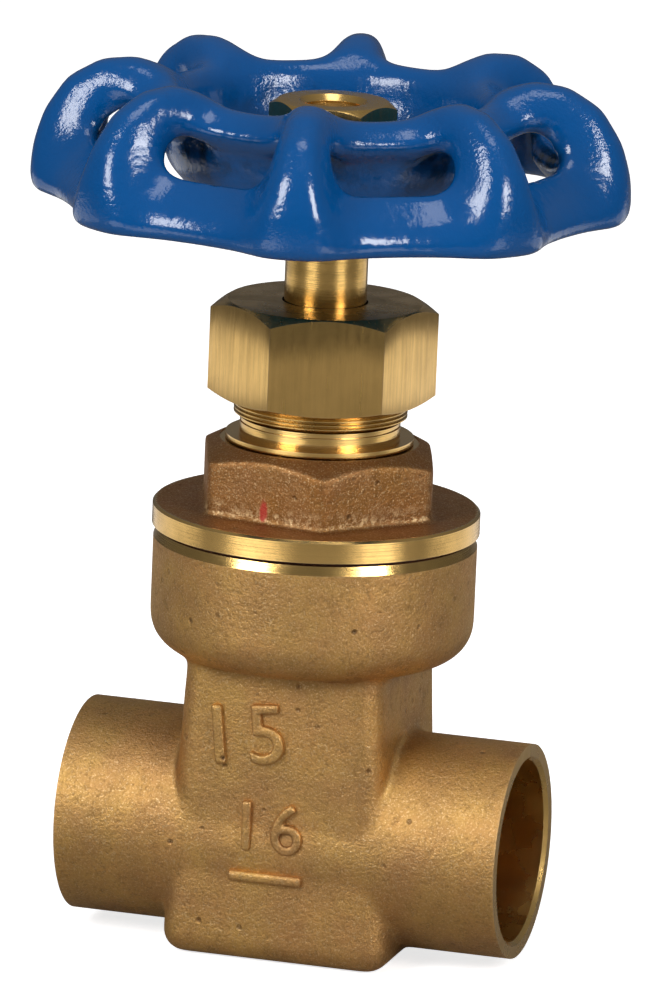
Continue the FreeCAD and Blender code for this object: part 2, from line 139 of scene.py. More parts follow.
class ValveSizes(bpy.types.PropertyGroup):
    """Sizes that the finished pieces take where the frame doesn't give them."""

    cast_voxel: FloatProperty(name="Casting voxel", description="Mesh size of the sand castings",
                              default=0.28 * MM, unit="LENGTH", precision=5)
    cast_smoothing: IntProperty(name="Casting smoothing", default=14, min=1,
                                description="Passes that round a casting's corners and fillets")
    wheel_voxel: FloatProperty(name="Handwheel voxel", description="Mesh size of the handwheel",
                               default=0.3 * MM, unit="LENGTH", precision=5)
    wheel_smoothing: IntProperty(name="Handwheel smoothing", default=62, min=1,
                                 description="Passes that round the handwheel's lobes")
    socket_wall: FloatProperty(name="Socket wall", description="Wall of the two solder sockets",
                               default=1.45 * MM, unit="LENGTH", precision=5)
    block_low: FloatProperty(name="Block half-width, foot", default=10.4 * MM, unit="LENGTH",
                             description="Half the body block's width along the pipe at its foot",
                             precision=5)
    block_high: FloatProperty(name="Block half-width, top", default=8.7 * MM, unit="LENGTH",
                              description="Half the body block's width along the pipe at its top",
                              precision=5)
    block_deep_low: FloatProperty(name="Block half-depth, foot", default=9.0 * MM, unit="LENGTH",
                                  description="Half the body block's depth at its foot",
                                  precision=5)
    block_deep_high: FloatProperty(name="Block half-depth, top", default=9.6 * MM, unit="LENGTH",
                                   description="Half the body block's depth at its top",
                                   precision=5)
    collar_low: FloatProperty(name="Collar underside", default=26.4 * MM, unit="LENGTH",
                              description="Height of the underside of the body's collar",
                              precision=5)
    bonnet_flats: FloatProperty(name="Bonnet hexagon", default=19.6 * MM, unit="LENGTH",
                                description="Across the flats of the cast hexagon", precision=5)
    nut_flats: FloatProperty(name="Packing nut", default=17.2 * MM, unit="LENGTH",
                             description="Across the flats of the packing nut", precision=5)
    wheel_nut_flats: FloatProperty(name="Handwheel nut", default=9.65 * MM, unit="LENGTH",
                                   description="Across the flats of the handwheel nut",
                                   precision=5)
    mark_height: FloatProperty(name="Mark relief", default=0.42 * MM, unit="LENGTH",
                               description="How far the cast figures stand out", precision=5)
    floor: FloatProperty(name="Floor", description="Width of the pale floor", default=12.0,
                         unit="LENGTH")


def colour(name, default, description):
    """A linear colour setting."""
    return FloatVectorProperty(name=name, description=description, subtype="COLOR", size=3,
                               default=default, min=0, max=1)


class ValveColours(bpy.types.PropertyGroup):
    """Linear base colours of the finishes."""

    bronze: colour("Cast bronze", (0.60, 0.36, 0.112), "Main tone of the sand castings")
    bronze_red: colour("Cast bronze, reddish", (0.33, 0.155, 0.042), "Tone of the bonnet's casting")
    bronze_dark: colour("Cast bronze, dull", (0.36, 0.19, 0.085), "Duller patches and hollows")
    # Also the colour of the castings' painted glints.
    bronze_bright: colour("Cast bronze, rubbed and glinting", (0.78, 0.56, 0.30), "Rubbed edges and sparkle")
    brass: colour("Turned brass", (0.80, 0.51, 0.17), "Freshly turned faces")
    # Also the colour of painted shade on the drawn brass and of the painted shadow on the stem.
    brass_stain_and_shade: colour("Turned brass, handled and shaded", (0.50, 0.32, 0.10), "Stained and shaded turned faces")
    enamel: colour("Enamel", (0.0, 0.066, 0.235), "Handwheel enamel")
    # Colour of the painted shade in the handwheel's hollows.
    enamel_painted_shade: colour("Enamel, painted shade", (0.002, 0.030, 0.135), "Enamel in the hollows")
    enamel_thin: colour("Enamel, thin", (0.02, 0.15, 0.34), "Enamel drawn thin over edges")
    enamel_unlit: colour("Enamel, inside", (0.003, 0.012, 0.02), "Dark inside of the wheel")
    paint_dot: colour("Inspector's dot", (0.45, 0.02, 0.01), "Dab of paint on the bonnet")
    packing: colour("Packing", (0.03, 0.03, 0.033), "Graphite packing")
    gasket: colour("Gasket", (0.10, 0.04, 0.025), "Fibre gasket")
    washer: colour("Thrust washer", (0.75, 0.74, 0.70), "White plastic washer")


def sizes():
    return bpy.context.scene.valve_sizes


def colours():
    return bpy.context.scene.valve_colours


# ---------------------------------------------------------------- modelling tools

def clear_selection():
    """Object mode with nothing selected, so that an operator touches only what is made next."""
    if bpy.context.mode != "OBJECT":
        bpy.ops.object.mode_set(mode="OBJECT")
    bpy.ops.object.select_all(action="DESELECT")


def choose(*objs):
    clear_selection()
    for obj in objs:
        obj.select_set(True)
    bpy.context.view_layer.objects.active = objs[0]


def settle(obj):
    """Moves an object's place, turn and scale into its mesh."""
    choose(obj)
    bpy.ops.object.transform_apply(location=True, rotation=True, scale=True)
    return obj


def pick(obj, kind, test):
    """Edit mode with only the faces or edges that pass the test selected."""
    choose(obj)
    bpy.ops.object.mode_set(mode="EDIT")
    bpy.ops.mesh.select_all(action="DESELECT")
    bpy.ops.mesh.select_mode(type=kind)
    mesh = bmesh.from_edit_mesh(obj.data)
    for part in (mesh.faces if kind == "FACE" else mesh.edges):
        if test(part):
            part.select_set(True)
    mesh.select_flush_mode()
    bmesh.update_edit_mesh(obj.data)


def level_edge(height):
    """A test for edges that lie flat at this height."""
    return lambda edge: all(abs(v.co.z - height) < 0.01 * MM for v in edge.verts)


def upright_edge(edge):
    run = edge.verts[0].co - edge.verts[1].co
    return abs(run.z) > 0.9 * run.length


def bevel_picked(offset, segments):
    bpy.ops.mesh.bevel(offset=offset, segments=segments, affect="EDGES", clamp_overlap=True)
    bpy.ops.object.mode_set(mode="OBJECT")


def apply_modifier(obj, kind, **settings):
    choose(obj)
    modifier = obj.modifiers.new(kind.lower(), kind)
    for name, value in settings.items():
        setattr(modifier, name, value)
    bpy.ops.object.modifier_apply(modifier=modifier.name)
    return obj


def machine(obj, cutter, operation="DIFFERENCE"):
    """Cuts obj with a cutter, which is used up."""
    apply_modifier(obj, "BOOLEAN", object=cutter, operation=operation, solver="MANIFOLD")
    bpy.data.objects.remove(cutter, do_unlink=True)
    return obj


def drum(name, radius, low, high, vertices=TURNED_STEPS):
    """An upright cylinder."""
    clear_selection()
    bpy.ops.mesh.primitive_cylinder_add(vertices=vertices, radius=radius, depth=high - low,
                                        location=(0, 0, (low + high) / 2))
    obj = bpy.context.object
    obj.name = name
    return settle(obj)


def lying_drum(name, radius, left, right):
    """A cylinder on the pipe's axis."""
    clear_selection()
    bpy.ops.mesh.primitive_cylinder_add(vertices=TURNED_STEPS, radius=radius, depth=right - left,
                                        location=((left + right) / 2, 0, PIPE_Z),
                                        rotation=(0, math.pi / 2, 0))
    obj = bpy.context.object
    obj.name = name
    return settle(obj)


def slab(name, low, high):
    clear_selection()
    low, high = Vector(low), Vector(high)
    bpy.ops.mesh.primitive_cube_add(size=1, location=(low + high) / 2, scale=high - low)
    obj = bpy.context.object
    obj.name = name
    return settle(obj)


def hexagon(name, flats, low, high, turn):
    """A hexagonal bar with one corner at this angle, in degrees."""
    clear_selection()
    bpy.ops.mesh.primitive_cylinder_add(vertices=6, radius=flats / math.sqrt(3),
                                        depth=high - low, location=(0, 0, (low + high) / 2),
                                        rotation=(0, 0, math.radians(turn - 90)))
    obj = bpy.context.object
    obj.name = name
    return settle(obj)


def turned(name, outline):
    """A solid turned about Z. Its outline of (radius, height) starts and ends on the axis."""
    clear_selection()
    mesh = bpy.data.meshes.new(name)
    mesh.from_pydata([(r, 0, z) for r, z in outline], [(k, k + 1) for k in range(len(outline) - 1)],
                     [])
    obj = bpy.data.objects.new(name, mesh)
    bpy.context.collection.objects.link(obj)
    choose(obj)
    bpy.ops.object.mode_set(mode="EDIT")
    bpy.ops.mesh.select_all(action="SELECT")
    bpy.ops.mesh.spin(steps=TURNED_STEPS, angle=2 * math.pi, center=(0, 0, 0), axis=(0, 0, 1))
    bpy.ops.mesh.select_all(action="SELECT")
    bpy.ops.mesh.remove_doubles(threshold=0.0005 * MM)
    bpy.ops.mesh.normals_make_consistent(inside=False)
    bpy.ops.object.mode_set(mode="OBJECT")
    return obj


def lay_on_pipe(obj, side):
    """Turns a solid made about Z so that its top points out of one socket."""
    obj.matrix_world = Matrix.Translation((0, 0, PIPE_Z)) @ Matrix.Rotation(side * math.pi / 2, 4,
                                                                            "Y")
    return settle(obj)


def join(name, *objs):
    choose(*objs)
    bpy.ops.object.join()
    obj = bpy.context.object
    obj.name = name
    return obj


def cast(obj, voxel, passes):
    """Fuses a joined set of solids into one casting with rounded corners and fillets."""
    apply_modifier(obj, "REMESH", mode="VOXEL", voxel_size=voxel)
    return apply_modifier(obj, "SMOOTH", factor=0.5, iterations=passes)


def soften_by_angle(obj, degrees):
    choose(obj)
    bpy.ops.object.shade_smooth_by_angle(angle=math.radians(degrees))
    return obj


def cad_copy(node, name):
    """A copy of a CAD node's mesh with its loose triangles merged."""
    clear_selection()
    obj = bpy.data.objects.new(name, frame["nodes"][node].data.copy())
    bpy.context.collection.objects.link(obj)
    obj.data.materials.clear()
    choose(obj)
    bpy.ops.object.mode_set(mode="EDIT")
    bpy.ops.mesh.select_all(action="SELECT")
    bpy.ops.mesh.remove_doubles(threshold=0.001 * MM)
    bpy.ops.object.mode_set(mode="OBJECT")
    return obj


def paint(obj, *materials):
    obj.data.materials.clear()
    for material in materials:
        obj.data.materials.append(material)
    return obj


def paint_where(obj, slot, test):
    """Gives one of the object's materials to the faces that pass the test."""
    pick(obj, "FACE", test)
    obj.active_material_index = slot
    bpy.ops.object.material_slot_assign()
    bpy.ops.object.mode_set(mode="OBJECT")


def hand_over(obj, body, slot, *nodes):
    """Rides a finished piece on a body, in place of its CAD nodes."""
    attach(obj, body)
    if nodes:
        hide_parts(*nodes)


# ---------------------------------------------------------------- material tools

def put(tree, kind, values=None, **settings):
    """A node with its settings, and its inputs set to a number or linked to an output."""
    node = tree.nodes.new(kind)
    for name, value in settings.items():
        setattr(node, name, value)
    for key, value in (values or {}).items():
        if isinstance(value, bpy.types.NodeSocket):
            tree.links.new(value, node.inputs[key])
        else:
            node.inputs[key].default_value = value
    return node


def maths(tree, operation, first, second=0.0, clamp=False):
    return put(tree, "ShaderNodeMath", {0: first, 1: second}, operation=operation,
               use_clamp=clamp).outputs[0]


def noise(tree, where, scale, detail=3.0, roughness=0.55, **settings):
    key = "W" if settings.get("noise_dimensions") == "1D" else "Vector"
    return put(tree, "ShaderNodeTexNoise", {key: where, "Scale": scale, "Detail": detail,
                                            "Roughness": roughness}, **settings).outputs["Fac"]


def between(tree, value, low, high, out_low=0.0, out_high=1.0):
    """Maps a range of a value on to another, and holds it there."""
    return put(tree, "ShaderNodeMapRange", {"Value": value, "From Min": low, "From Max": high,
                                            "To Min": out_low, "To Max": out_high}).outputs[0]


def blend_colours(tree, mask, first, second, blend_type="MIX"):
    """Mixes two colours, given as tuples or outputs."""
    mix = put(tree, "ShaderNodeMix", {0: mask}, data_type="RGBA", blend_type=blend_type)
    for socket, value in ((mix.inputs[6], first), (mix.inputs[7], second)):
        if isinstance(value, bpy.types.NodeSocket):
            tree.links.new(value, socket)
        else:
            socket.default_value = (*value, 1)
    return mix.outputs[2]


def bump(tree, height, distance, strength=1.0, normal=None):
    values = {"Height": height, "Distance": distance, "Strength": strength}
    if normal:
        values["Normal"] = normal
    return put(tree, "ShaderNodeBump", values).outputs[0]


def group(name, inputs, outputs):
    """A node group's tree with its sockets, and its input and output nodes."""
    tree = bpy.data.node_groups.new(name, "ShaderNodeTree")
    for label, kind, default in inputs:
        socket = tree.interface.new_socket(name=label, in_out="INPUT", socket_type=kind)
        if default is not None:
            socket.default_value = default
    for label in outputs:
        tree.interface.new_socket(name=label, in_out="OUTPUT", socket_type="NodeSocketFloat")
    return tree, tree.nodes.new("NodeGroupInput").outputs, tree.nodes.new("NodeGroupOutput").inputs


def use(tree, name, values=None):
    """Places a node group in a material."""
    return put(tree, "ShaderNodeGroup", values, node_tree=bpy.data.node_groups[name]).outputs


def build_sand_grain():
    """Fine raised grain, scattered pits and broad uneven patches of a sand casting, with a speckle
    mask for painted glints.
    """
    tree, given, result = group("Sand grain", [("Vector", "NodeSocketVector", None),
                                               ("Grain", "NodeSocketFloat", 3600.0)],
                                ["Height", "Pits", "Patches", "Sparkle"])
    grain = noise(tree, given["Vector"], given["Grain"], 4.0, 0.65)
    lumps = noise(tree, given["Vector"], maths(tree, "MULTIPLY", given["Grain"], 0.28), 2.0)
    cells = put(tree, "ShaderNodeTexVoronoi",
                {"Vector": given["Vector"], "Scale": maths(tree, "MULTIPLY", given["Grain"], 0.30)})
    chance = put(tree, "ShaderNodeSeparateColor", {0: cells.outputs["Color"]}).outputs[0]
    round_pit = between(tree, cells.outputs["Distance"], 0.10, 0.34, 1.0, 0.0)
    pits = maths(tree, "MULTIPLY", round_pit, between(tree, chance, 0.955, 0.99))
    height = maths(tree, "ADD", maths(tree, "MULTIPLY", grain, 0.55),
                   maths(tree, "MULTIPLY", lumps, 0.45))
    height = maths(tree, "SUBTRACT", height, maths(tree, "MULTIPLY", pits, 0.9))
    patches = noise(tree, given["Vector"], maths(tree, "MULTIPLY", given["Grain"], 0.07), 4.0, 0.6)
    # Painted glints: bright speckle that the bronze's base colour takes.
    glints = noise(tree, given["Vector"], maths(tree, "MULTIPLY", given["Grain"], 1.7), 1.5)
    tree.links.new(height, result["Height"])
    tree.links.new(pits, result["Pits"])
    tree.links.new(between(tree, patches, 0.36, 0.66), result["Patches"])
    tree.links.new(between(tree, glints, 0.54, 0.74), result["Sparkle"])


def build_edge_wear():
    """1 on convex edges, broken up by noise."""
    tree, given, result = group("Edge wear", [("Vector", "NodeSocketVector", None),
                                              ("Radius", "NodeSocketFloat", 0.4 * MM),
                                              ("Reach", "NodeSocketFloat", 6.0)], ["Edge"])
    rounded = put(tree, "ShaderNodeBevel", {"Radius": given["Radius"]}, samples=4).outputs[0]
    normal = put(tree, "ShaderNodeNewGeometry").outputs["Normal"]
    straight = put(tree, "ShaderNodeVectorMath", {0: rounded, 1: normal},
                   operation="DOT_PRODUCT").outputs["Value"]
    turn = maths(tree, "MULTIPLY", maths(tree, "SUBTRACT", 1.0, straight), given["Reach"])
    broken = noise(tree, given["Vector"], 900.0, 3.0)
    edge = maths(tree, "MULTIPLY", turn, between(tree, broken, 0.3, 0.6, 0.45, 1.25), clamp=True)
    tree.links.new(edge, result["Edge"])


def build_painted_shade():
    """1 deep in corners and hollows, from ambient occlusion: a mask for painted shade, broken up by
    noise.
    """
    tree, given, result = group("Painted shade", [("Vector", "NodeSocketVector", None),
                                          ("Distance", "NodeSocketFloat", 2.0 * MM)], ["Painted shade"])
    open_air = put(tree, "ShaderNodeAmbientOcclusion", {"Distance": given["Distance"]},
                   samples=8, only_local=True).outputs["AO"]
    uneven = noise(tree, given["Vector"], 500.0, 4.0)
    hollow = maths(tree, "MULTIPLY", maths(tree, "SUBTRACT", 1.0, open_air), 1.6)
    tree.links.new(maths(tree, "MULTIPLY", hollow, between(tree, uneven, 0.3, 0.65, 0.5, 1.2),
                         clamp=True), result["Painted shade"])


def build_tool_lines():
    """Fine uneven lines left by a lathe tool, across the direction of a position."""
    tree, given, result = group("Tool lines", [("Position", "NodeSocketFloat", 0.0),
                                               ("Lines", "NodeSocketFloat", 9000.0)],
                                ["Height", "Tone"])
    fine = noise(tree, given["Position"], given["Lines"], 2.0, 0.6, noise_dimensions="1D")
    coarse = noise(tree, given["Position"], maths(tree, "MULTIPLY", given["Lines"], 0.11), 3.0,
                   0.6, noise_dimensions="1D")
    tree.links.new(maths(tree, "ADD", maths(tree, "MULTIPLY", fine, 0.6),
                         maths(tree, "MULTIPLY", coarse, 0.4)), result["Height"])
    tree.links.new(between(tree, coarse, 0.35, 0.68), result["Tone"])


def material(name, **plain):
    """An empty node material, its shader with plain values set, and its object coordinates."""
    made = bpy.data.materials.new(name)
    made.use_nodes = True
    tree = made.node_tree
    shader = tree.nodes["Principled BSDF"]
    for key, value in plain.items():
        shader.inputs[key.replace("_", " ").title()].default_value = value
    where = put(tree, "ShaderNodeTexCoord").outputs["Object"]
    return made, tree, shader, where


def dab(tree, where, spot):
    """1 inside a small upright dab of paint at this place, with an uneven edge."""
    offset = put(tree, "ShaderNodeVectorMath", {0: where, 1: spot}, operation="SUBTRACT").outputs[0]
    squashed = put(tree, "ShaderNodeVectorMath", {0: offset, 1: (1, 1, 0.42)},
                   operation="MULTIPLY").outputs[0]
    away = put(tree, "ShaderNodeVectorMath", {0: squashed}, operation="LENGTH").outputs["Value"]
    ragged = maths(tree, "MULTIPLY", noise(tree, where, 1500.0), 0.3 * MM)
    return between(tree, maths(tree, "ADD", away, ragged), 0.45 * MM, 0.62 * MM, 0.9, 0.0)


def cast_bronze(name, main, dull_tone, paint_spot=None, rough_foot=None):
    """Sand-cast bronze: fine grain, rosy and dull patches, painted shade in hollows, painted glints
    and rubbed edges.
    """
    made, tree, shader, where = material(name, metallic=1.0)
    tone = colours()
    sand = use(tree, "Sand grain", {"Vector": where})
    edge = use(tree, "Edge wear", {"Vector": where, "Radius": 0.5 * MM, "Reach": 3.0})["Edge"]
    painted_shade = use(tree, "Painted shade", {"Vector": where, "Distance": 2.4 * MM})["Painted shade"]
    rosy = between(tree, noise(tree, where, 150.0, 5.0, 0.65), 0.42, 0.64, 0.0, 0.5)
    base = blend_colours(tree, rosy, main, tuple(c * t for c, t in zip(main, ROSY_TINT)))
    base = blend_colours(tree, maths(tree, "MULTIPLY", sand["Patches"], 0.5), base, dull_tone)
    specks = between(tree, sand["Height"], 0.36, 0.50, 0.42, 0.0)
    # Darker in hollows as painted shade, and in the real pits and specks of the grain.
    dark = maths(tree, "MAXIMUM", maths(tree, "MULTIPLY", painted_shade, 0.65),
                 maths(tree, "MAXIMUM", sand["Pits"], specks))
    base = blend_colours(tree, dark, base, tuple(c * 0.45 for c in dull_tone))
    # Rubbed edges, and painted glints where the sparkle mask is high.
    bright = maths(tree, "MAXIMUM", maths(tree, "MULTIPLY", edge, 0.4),
                   maths(tree, "MULTIPLY", sand["Sparkle"], 0.60))
    if rough_foot:
        height = put(tree, "ShaderNodeSeparateXYZ", {0: where}).outputs[2]
        rise = between(tree, height, rough_foot + 0.15 * MM, rough_foot + 0.4 * MM)
        fall = between(tree, height, rough_foot + 0.6 * MM, rough_foot + 1.8 * MM, 1.0, 0.0)
        band = maths(tree, "MULTIPLY", rise, fall)
        crust = between(tree, noise(tree, where, 1500.0, 4.0, 0.7), 0.48, 0.62)
        bright = maths(tree, "MAXIMUM", bright, maths(tree, "MULTIPLY", band, crust), clamp=True)
    base = blend_colours(tree, bright, base, tone.bronze_bright)
    if paint_spot:
        painted = dab(tree, where, paint_spot)
        base = blend_colours(tree, painted, base, tone.paint_dot)
        tree.links.new(maths(tree, "SUBTRACT", 1.0, painted), shader.inputs["Metallic"])
    rough = maths(tree, "SUBTRACT", between(tree, sand["Height"], 0.3, 0.7, 0.62, 0.46),
                  maths(tree, "MULTIPLY", sand["Sparkle"], 0.12))
    tree.links.new(base, shader.inputs["Base Color"])
    tree.links.new(rough, shader.inputs["Roughness"])
    tree.links.new(bump(tree, sand["Height"], 0.17 * MM, 0.9), shader.inputs["Normal"])
    return made


def turned_brass(name, across, lines=9000.0, rough=0.22, stain_and_shade=0.35):
    """Turned or drawn brass. across picks the coordinate that the tool lines lie across. Its
    darkening blends towards the stained tone; on the stem it is a painted shadow of the handwheel.
    """
    made, tree, shader, where = material(name, metallic=1.0)
    tone = colours()
    axes = put(tree, "ShaderNodeSeparateXYZ", {0: where}).outputs
    flat = put(tree, "ShaderNodeCombineXYZ", {0: axes[0], 1: axes[1]}).outputs[0]
    if across == "height":
        position = axes[2]
    elif across == "radius":
        position = put(tree, "ShaderNodeVectorMath", {0: flat}, operation="LENGTH").outputs["Value"]
    else:
        lifted = maths(tree, "SUBTRACT", axes[2], PIPE_Z)
        ends = put(tree, "ShaderNodeCombineXYZ", {1: axes[1], 2: lifted}).outputs[0]
        radius = put(tree, "ShaderNodeVectorMath", {0: ends}, operation="LENGTH").outputs["Value"]
        position = maths(tree, "ADD", radius, axes[0])
    tool = use(tree, "Tool lines", {"Position": position, "Lines": lines})
    edge = use(tree, "Edge wear", {"Vector": where, "Radius": 0.2 * MM, "Reach": 3.0})["Edge"]
    cloudy = between(tree, noise(tree, where, 260.0, 4.0, 0.6), 0.38, 0.68)
    darkening = maths(tree, "MULTIPLY", maths(tree, "ADD", cloudy,
                                            maths(tree, "MULTIPLY", tool["Tone"], 0.4)), stain_and_shade)
    base = blend_colours(tree, darkening, tone.brass, tone.brass_stain_and_shade)
    base = blend_colours(tree, maths(tree, "MULTIPLY", edge, 0.6), base, tone.bronze_bright)
    tree.links.new(base, shader.inputs["Base Color"])
    tree.links.new(between(tree, cloudy, 0.0, 1.0, rough, rough + 0.14),
                   shader.inputs["Roughness"])
    tree.links.new(bump(tree, tool["Height"], 0.02 * MM, 0.7), shader.inputs["Normal"])
    return made


def drawn_brass():
    """Hexagonal bar stock: satin flats with long upright streaks, painted shade in hollows and
    brighter corners.
    """
    made, tree, shader, where = material("drawn_brass", metallic=1.0)
    tone = colours()
    stretched = put(tree, "ShaderNodeMapping", {"Vector": where, "Scale": (1, 1, 0.06)}).outputs[0]
    streaks = noise(tree, stretched, 2600.0, 3.0, 0.6)
    cloudy = between(tree, noise(tree, where, 240.0, 4.0, 0.6), 0.36, 0.66)
    edge = use(tree, "Edge wear", {"Vector": where, "Radius": 0.3 * MM, "Reach": 3.5})["Edge"]
    painted_shade = use(tree, "Painted shade", {"Vector": where, "Distance": 2.0 * MM})["Painted shade"]
    darkening = maths(tree, "ADD", maths(tree, "MULTIPLY", cloudy, 0.35),
                    between(tree, streaks, 0.35, 0.7, 0.0, 0.35), clamp=True)
    base = blend_colours(tree, darkening, tone.brass, tone.brass_stain_and_shade)
    # Painted shade in hollows, from ambient occlusion.
    base = blend_colours(tree, maths(tree, "MULTIPLY", painted_shade, 0.7), base, tone.brass_stain_and_shade)
    base = blend_colours(tree, maths(tree, "MULTIPLY", edge, 0.7), base, tone.bronze_bright)
    tree.links.new(base, shader.inputs["Base Color"])
    tree.links.new(between(tree, streaks, 0.3, 0.7, 0.17, 0.28), shader.inputs["Roughness"])
    tree.links.new(bump(tree, streaks, 0.03 * MM, 0.6), shader.inputs["Normal"])
    return made


def blue_enamel():
    """Glossy enamel sprayed over a rough casting: fine speckle, painted shade in hollows and deep
    inside the wheel, thin edges.
    """
    made, tree, shader, where = material("sprayed_enamel", metallic=0.0)
    tone = colours()
    peel = noise(tree, where, 1150.0, 2.5, 0.5)
    speckle = noise(tree, where, 3000.0, 2.0, 0.6)
    lumps = noise(tree, where, 330.0, 2.0, 0.5)
    rough_patch = between(tree, noise(tree, where, 110.0, 2.0), 0.40, 0.60, 0.15, 1.0)
    height = maths(tree, "ADD", maths(tree, "MULTIPLY", peel, 0.5),
                   maths(tree, "MULTIPLY", lumps, 0.5))
    height = maths(tree, "ADD", height,
                   maths(tree, "MULTIPLY", maths(tree, "MULTIPLY", speckle, rough_patch), 0.55))
    painted_shade = use(tree, "Painted shade", {"Vector": where, "Distance": 3.5 * MM})["Painted shade"]
    inside = use(tree, "Painted shade", {"Vector": where, "Distance": 14 * MM})["Painted shade"]
    edge = use(tree, "Edge wear", {"Vector": where, "Radius": 0.8 * MM, "Reach": 2.0})["Edge"]
    # Painted shade in the wheel's hollows, from ambient occlusion.
    base = blend_colours(tree, maths(tree, "MULTIPLY", painted_shade, 0.8), tone.enamel, tone.enamel_painted_shade)
    # Near-black painted shade deep inside the wheel.
    base = blend_colours(tree, between(tree, inside, 0.62, 1.0), base, tone.enamel_unlit)
    base = blend_colours(tree, maths(tree, "MULTIPLY", edge, 0.3), base, tone.enamel_thin)
    tree.links.new(base, shader.inputs["Base Color"])
    tree.links.new(between(tree, peel, 0.3, 0.7, 0.11, 0.19), shader.inputs["Roughness"])
    tree.links.new(bump(tree, height, 0.12 * MM, 0.8), shader.inputs["Normal"])
    return made


def dull(name, shade, scale, depth):
    """A soft, slightly uneven matt material for the hidden packing, gasket and washer."""
    made, tree, shader, where = material(name, roughness=0.8)
    fibres = noise(tree, where, scale, 5.0, 0.65)
    darker = tuple(c * 0.55 for c in shade)
    tree.links.new(blend_colours(tree, between(tree, fibres, 0.35, 0.65), shade, darker),
                   shader.inputs["Base Color"])
    tree.links.new(between(tree, fibres, 0.3, 0.7, 0.6, 0.9), shader.inputs["Roughness"])
    tree.links.new(bump(tree, fibres, depth), shader.inputs["Normal"])
    return made


# ---------------------------------------------------------------- operators

class VALVE_OT_finishes(bpy.types.Operator):
    """Build the shared effects and the materials of every finish"""

    bl_idname = "valve.finishes"
    bl_label = "Finishes"

    def execute(self, context):
        build_sand_grain()
        build_edge_wear()
        build_painted_shade()
        build_tool_lines()
        tone = colours()
        cast_bronze("sand_bronze", tone.bronze, tone.bronze_dark)
        cast_bronze("sand_bronze_red", tone.bronze_red, tone.bronze_dark,
                    self.dab_place(), FLANGE_TOP)
        drawn_brass()
        turned_brass("faced_brass", "pipe", lines=7000.0, rough=0.24)
        turned_brass("lathe_brass", "height", lines=8000.0, rough=0.14, stain_and_shade=0.25)
        # The stem's brass is darkened here as a painted shadow of the handwheel.
        turned_brass("shadowed_stem_brass", "height", lines=8000.0, rough=0.12, stain_and_shade=0.9)
        turned_brass("topped_brass", "radius", lines=7000.0, rough=0.22, stain_and_shade=0.6)
        turned_brass("threaded_brass", "height", lines=6000.0, rough=0.2, stain_and_shade=1.6)
        blue_enamel()
        dull("graphite_braid", tone.packing, 1800.0, 0.1 * MM)
        dull("fibre_sheet", tone.gasket, 2500.0, 0.05 * MM)
        dull("slippery_plastic", tone.washer, 900.0, 0.02 * MM)
        return {"FINISHED"}

    def dab_place(self):
        """The low middle of the bonnet's left front flat."""
        turn = math.radians(BONNET_HEX_TURN - 150)
        out = sizes().bonnet_flats / 2
        return Vector((math.cos(turn) * out, math.sin(turn) * out, FLANGE_TOP + 1.1 * MM))


